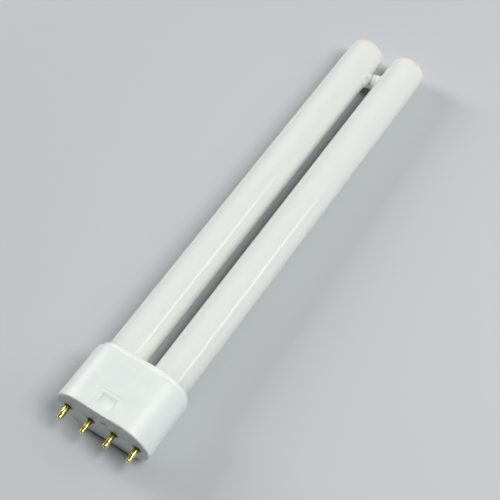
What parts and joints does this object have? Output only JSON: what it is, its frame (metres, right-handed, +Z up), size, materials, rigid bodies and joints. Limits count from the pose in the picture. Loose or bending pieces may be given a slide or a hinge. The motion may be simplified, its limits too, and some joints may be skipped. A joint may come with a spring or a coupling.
{
  "type": "compact fluorescent tube",
  "caption": "Plug-in fluorescent lamp: parallel white glass limbs joined by a bridge near their rounded ends, in an oblong white plastic cap with a row of brass contact pins.",
  "frame": {"origin": "centre of the pin face, midway between the two inner pins, on the plane that holds the axes of both limbs", "axes": "+X along the pin row, +Y along the limbs away from the pins, +Z up out of the upper broad face of the cap"},
  "size_m": [0.0438, 0.2255, 0.0248],
  "materials": {
    "coated_glass": "smooth clear glass over an opaque white powder coating",
    "cap_plastic": "satin white moulded plastic",
    "pin_brass": "drawn brass, lightly polished",
    "lead_wire": "plain drawn wire",
    "capping_cement": "matt set cement"
  },
  "bodies": {
    "root": {"discharge_tube": "coated_glass", "base_cap": "cap_plastic", "contact_pin_1": "pin_brass", "contact_pin_2": "pin_brass", "contact_pin_3": "pin_brass", "contact_pin_4": "pin_brass", "lead_wire_1": "lead_wire", "lead_wire_2": "lead_wire", "lead_wire_3": "lead_wire", "lead_wire_4": "lead_wire", "cement_ring_1": "capping_cement", "cement_ring_2": "capping_cement"}
  },
  "joints": []
}
